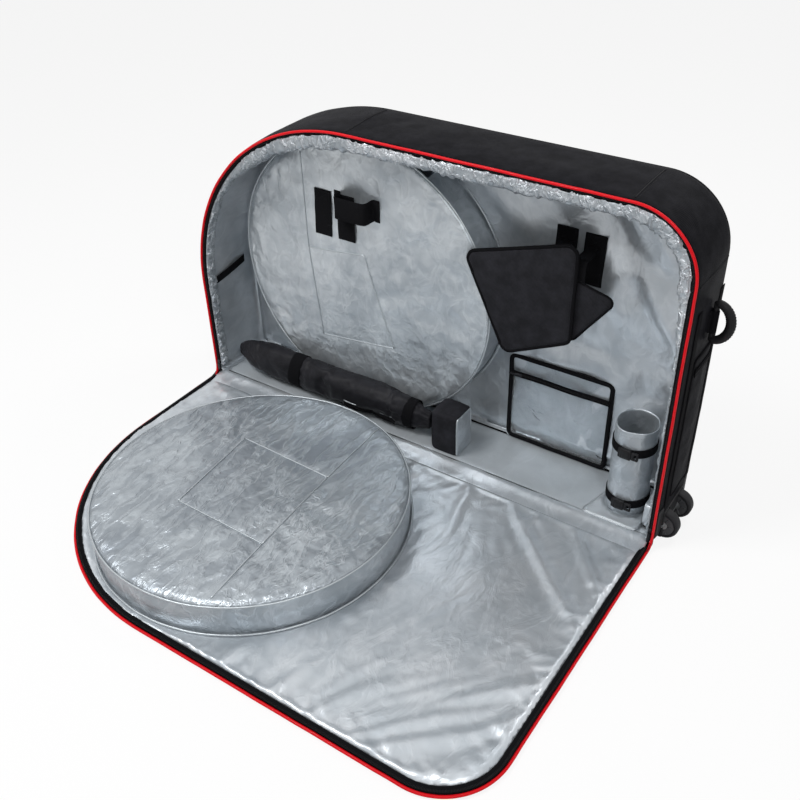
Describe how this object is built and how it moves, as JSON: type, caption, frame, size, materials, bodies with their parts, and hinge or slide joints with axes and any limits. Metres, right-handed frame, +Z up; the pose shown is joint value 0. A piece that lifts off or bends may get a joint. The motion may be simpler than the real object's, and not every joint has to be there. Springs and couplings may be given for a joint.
{
  "type": "soft bike travel bag",
  "caption": "Soft padded bike travel bag standing open, with a zipped fold-down door, round wheel pockets, a fork holster, inner covers, a grab handle and corner wheels.",
  "frame": {"origin": "middle of the skid plate's underside, on the floor", "axes": "+X along the bag to the wheeled end, +Y from the opening to the back panel, +Z up"},
  "size_m": [1.3555, 0.9839, 0.8],
  "materials": {
    "black_polyester": "black woven polyester with a slight sheen",
    "black_foam": "black foam padding",
    "silver_lining": "silver coated lining cloth, creased",
    "grey_board_cloth": "dark silver cloth over a stiff board",
    "red_piping": "red corded piping",
    "black_webbing": "black woven webbing",
    "black_plastic": "moulded black plastic",
    "rubber_black": "black rubber",
    "clear_vinyl": "clear flexible vinyl sheet",
    "steel": "plain steel"
  },
  "bodies": {
    "bag": {"back_panel_fabric": "black_polyester", "back_panel_foam": "black_foam", "back_panel_lining": "silver_lining", "gusset_fabric": "black_polyester", "gusset_foam": "black_foam", "gusset_lining": "silver_lining", "opening_piping": "red_piping", "opening_zip_tape": "black_webbing", "opening_rim_pad": "silver_lining", "skid_plate": "black_plastic", "base_board": "grey_board_cloth", "door_hinge_roll": "silver_lining", "wall_pocket_side": "silver_lining", "wall_pocket_face": "silver_lining", "wall_pocket_piping": "silver_lining", "pocket_anchor_left": "black_webbing", "pocket_anchor_right": "black_webbing", "wall_anchor_left": "black_webbing", "wall_anchor_right": "black_webbing", "seatpost_strap": "black_webbing", "clear_pocket_binding": "black_webbing", "clear_pocket_window": "clear_vinyl", "clear_pocket_zip": "black_webbing", "fork_holster": "silver_lining", "holster_strap_lower": "black_webbing", "holster_strap_upper": "black_webbing", "holster_buckle_socket_lower": "black_plastic", "holster_buckle_socket_upper": "black_plastic", "wheel_axle": "steel", "wheel_housing": "black_plastic", "wheel_well_cover": "silver_lining", "drivetrain_sleeve": "black_polyester", "sleeve_strap": "black_webbing", "frame_block": "black_polyester", "handle_tab": "black_webbing"},
    "door": {"door_fabric": "black_polyester", "door_foam": "black_foam", "door_lining": "silver_lining", "door_piping": "red_piping", "door_zip_tape": "black_webbing", "door_pocket_side": "silver_lining"},
    "door_pocket_cover": {"door_pocket_face": "silver_lining", "door_pocket_piping": "silver_lining"},
    "slider_left": {"zip_slider_left": "steel"},
    "slider_right": {"zip_slider_right": "steel"},
    "pull_left": {"zip_pull_left": "black_plastic"},
    "pull_right": {"zip_pull_right": "black_plastic"},
    "wheel_front": {"wheel_tyre_front": "rubber_black", "wheel_hub_front": "black_plastic", "wheel_bearing_front": "steel"},
    "wheel_rear": {"wheel_tyre_rear": "rubber_black", "wheel_hub_rear": "black_plastic", "wheel_bearing_rear": "steel"},
    "hung_pad": {"frame_pad": "black_polyester", "frame_pad_wing": "black_polyester", "frame_pad_hanger": "black_webbing"},
    "grab_handle": {"end_handle": "rubber_black"},
    "pocket_slider": {"clear_pocket_slider": "steel"},
    "tongue_lower": {"holster_buckle_tongue_lower": "black_plastic"},
    "tongue_upper": {"holster_buckle_tongue_upper": "black_plastic"}
  },
  "joints": [
    {"name": "door_hinge", "type": "hinge", "parent": "bag", "child": "door", "pos_m": [0, -0.103, 0.0116], "axis": [-1, 0, 0], "range_deg": [0, 90]},
    {"name": "door_pocket_fold", "type": "slide", "parent": "door", "child": "door_pocket_cover", "axis": [0, 0, -1], "range_m": [0, 0.065], "deforming": ["door_pocket_side"]},
    {"name": "slider_left_travel", "type": "slide", "parent": "bag", "child": "slider_left", "axis": [0, 0, 1], "range_m": [0, 0.2]},
    {"name": "slider_right_travel", "type": "slide", "parent": "bag", "child": "slider_right", "axis": [0, 0, 1], "range_m": [0, 0.58]},
    {"name": "pull_left_swing", "type": "hinge", "parent": "slider_left", "child": "pull_left", "pos_m": [-0.6384, -0.09885, 0.042], "axis": [1, 0, 0], "range_deg": [-150, 0]},
    {"name": "pull_right_swing", "type": "hinge", "parent": "slider_right", "child": "pull_right", "pos_m": [0.6384, -0.09885, 0.042], "axis": [1, 0, 0], "range_deg": [-150, 0]},
    {"name": "wheel_front_spin", "type": "hinge", "parent": "bag", "child": "wheel_front", "pos_m": [0.651, -0.04, 0.036], "axis": [0, 1, 0], "continuous": true},
    {"name": "wheel_rear_spin", "type": "hinge", "parent": "bag", "child": "wheel_rear", "pos_m": [0.651, 0.04, 0.036], "axis": [0, 1, 0], "continuous": true},
    {"name": "frame_pad_swing", "type": "hinge", "parent": "bag", "child": "hung_pad", "pos_m": [0.34375, 0.0768, 0.6], "axis": [1, 0, 0], "range_deg": [-50, 0]},
    {"name": "grab_handle_swing", "type": "hinge", "parent": "bag", "child": "grab_handle", "pos_m": [0.6615, 0.0125, 0.5375], "axis": [0, 0, 1], "range_deg": [-60, 60]},
    {"name": "pocket_slider_travel", "type": "slide", "parent": "bag", "child": "pocket_slider", "axis": [1, 0, 0], "range_m": [0, 0.21]},
    {"name": "tongue_lower_release", "type": "slide", "parent": "bag", "child": "tongue_lower", "axis": [1, 0, 0], "range_m": [0, 0.018]},
    {"name": "tongue_upper_release", "type": "slide", "parent": "bag", "child": "tongue_upper", "axis": [1, 0, 0], "range_m": [0, 0.018]}
  ],
  "couplings": [
    {"joint": "door_pocket_fold", "follows": "door_hinge", "m_per_rad": 0.04135}
  ]
}
